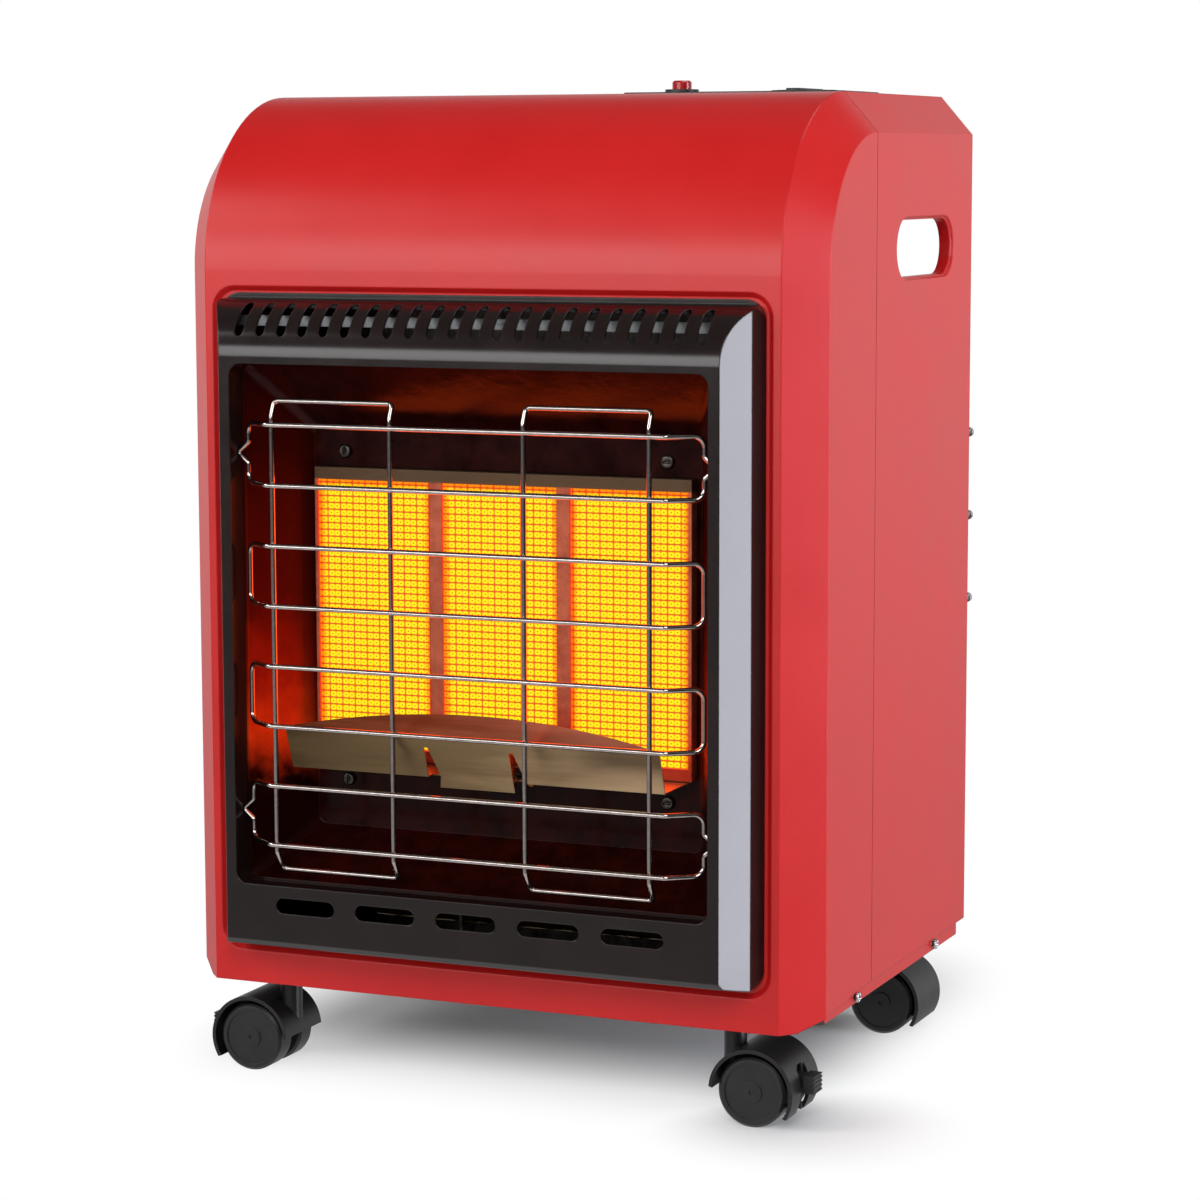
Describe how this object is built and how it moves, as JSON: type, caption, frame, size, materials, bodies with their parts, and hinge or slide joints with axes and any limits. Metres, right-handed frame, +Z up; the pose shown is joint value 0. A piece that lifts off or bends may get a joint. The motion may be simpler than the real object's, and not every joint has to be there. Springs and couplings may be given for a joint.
{
  "type": "portable propane cabinet heater",
  "caption": "Portable propane radiant heater: a red steel cabinet on twin-wheel casters with glowing ceramic plaques behind a wire guard.",
  "frame": {"origin": "on the floor under the centre of the whole heater's outline, guard and gas inlet included", "axes": "+X to the heater's left as it faces the user (right in a front view), +Y to its back, +Z up"},
  "size_m": [0.3986, 0.335, 0.584],
  "materials": {
    "red_enamel": "gloss",
    "black_enamel": "gloss",
    "black_steel": "satin",
    "galvanised": "satin",
    "ceramic_plaque": "matt",
    "porcelain": "gloss",
    "stainless": "satin",
    "chrome_wire": "polished",
    "brass": "satin",
    "copper_pipe": "satin",
    "aluminium_pipe": "satin",
    "zinc_steel": "satin",
    "black_plastic": "satin",
    "red_plastic": "gloss",
    "tread_plastic": "satin"
  },
  "bodies": {
    "cabinet": {"front_casing": "red_enamel", "rear_casing": "red_enamel", "base_plate": "black_steel", "back_panel": "black_steel", "heat_shield": "galvanised", "surround": "black_enamel", "hanger_strip": "galvanised", "firebox": "black_enamel", "burner_frame": "galvanised", "plaque_left": "ceramic_plaque", "plaque_middle": "ceramic_plaque", "plaque_right": "ceramic_plaque", "burner_left": "galvanised", "burner_middle": "galvanised", "burner_right": "galvanised", "manifold": "brass", "manifold_bracket": "galvanised", "injectors": "brass", "deflector": "stainless", "pilot_bracket": "galvanised", "pilot_burner": "brass", "thermocouple": "copper_pipe", "spark_electrode": "porcelain", "guard_loop_1": "chrome_wire", "guard_loop_2": "chrome_wire", "guard_loop_3": "chrome_wire", "guard_loop_4": "chrome_wire", "guard_uprights": "chrome_wire", "control_plate": "black_plastic", "gas_valve": "brass", "piezo_igniter": "black_plastic", "gas_inlet": "brass", "supply_pipe": "copper_pipe", "burner_pipe": "copper_pipe", "pilot_pipe": "aluminium_pipe", "tip_switch": "black_plastic", "caster_sockets": "zinc_steel", "caster_stems": "zinc_steel", "casing_screws": "zinc_steel", "back_screws": "zinc_steel", "firebox_screws": "zinc_steel", "rear_studs": "zinc_steel"},
    "push_rod": {"push_rod": "zinc_steel"},
    "knob": {"valve_spindle": "zinc_steel", "knob": "black_plastic"},
    "igniter_button": {"igniter_button": "red_plastic"},
    "caster_fl": {"hood_fl": "black_plastic"},
    "wheelset_fl": {"wheels_fl": "tread_plastic", "axle_fl": "zinc_steel"},
    "brake_fl": {"brake_fl": "black_plastic"},
    "caster_fr": {"hood_fr": "black_plastic"},
    "wheelset_fr": {"wheels_fr": "tread_plastic", "axle_fr": "zinc_steel"},
    "brake_fr": {"brake_fr": "black_plastic"},
    "caster_rl": {"hood_rl": "black_plastic"},
    "wheelset_rl": {"wheels_rl": "tread_plastic", "axle_rl": "zinc_steel"},
    "caster_rr": {"hood_rr": "black_plastic"},
    "wheelset_rr": {"wheels_rr": "tread_plastic", "axle_rr": "zinc_steel"}
  },
  "joints": [
    {"name": "swivel_fl", "type": "hinge", "parent": "cabinet", "child": "caster_fl", "pos_m": [-0.142, -0.108, 0.045], "axis": [0, 0, 1], "continuous": true},
    {"name": "roll_fl", "type": "hinge", "parent": "caster_fl", "child": "wheelset_fl", "pos_m": [-0.159, -0.108, 0.02], "axis": [0, 1, 0], "continuous": true},
    {"name": "brake_lever_fl", "type": "hinge", "parent": "caster_fl", "child": "brake_fl", "pos_m": [-0.173, -0.108, 0.025], "axis": [0, -1, 0], "range_deg": [0, 12]},
    {"name": "swivel_fr", "type": "hinge", "parent": "cabinet", "child": "caster_fr", "pos_m": [0.142, -0.108, 0.045], "axis": [0, 0, 1], "continuous": true},
    {"name": "roll_fr", "type": "hinge", "parent": "caster_fr", "child": "wheelset_fr", "pos_m": [0.159, -0.108, 0.02], "axis": [0, 1, 0], "continuous": true},
    {"name": "brake_lever_fr", "type": "hinge", "parent": "caster_fr", "child": "brake_fr", "pos_m": [0.173, -0.108, 0.025], "axis": [0, 1, 0], "range_deg": [0, 12]},
    {"name": "swivel_rl", "type": "hinge", "parent": "cabinet", "child": "caster_rl", "pos_m": [-0.142, 0.118, 0.045], "axis": [0, 0, 1], "continuous": true},
    {"name": "roll_rl", "type": "hinge", "parent": "caster_rl", "child": "wheelset_rl", "pos_m": [-0.159, 0.118, 0.02], "axis": [0, 1, 0], "continuous": true},
    {"name": "swivel_rr", "type": "hinge", "parent": "cabinet", "child": "caster_rr", "pos_m": [0.142, 0.118, 0.045], "axis": [0, 0, 1], "continuous": true},
    {"name": "roll_rr", "type": "hinge", "parent": "caster_rr", "child": "wheelset_rr", "pos_m": [0.159, 0.118, 0.02], "axis": [0, 1, 0], "continuous": true},
    {"name": "knob_push", "type": "slide", "parent": "cabinet", "child": "push_rod", "axis": [0, 0, -1], "range_m": [0, 0.003], "stiffness_N_per_m": 1500, "springref_m": -0.003},
    {"name": "knob_turn", "type": "hinge", "parent": "push_rod", "child": "knob", "pos_m": [0.127, 0.04, 0.575], "axis": [0, 0, 1], "range_deg": [-270, 0]},
    {"name": "igniter_push", "type": "slide", "parent": "cabinet", "child": "igniter_button", "axis": [0, 0, -1], "range_m": [0, 0.005], "stiffness_N_per_m": 900, "springref_m": -0.003}
  ]
}
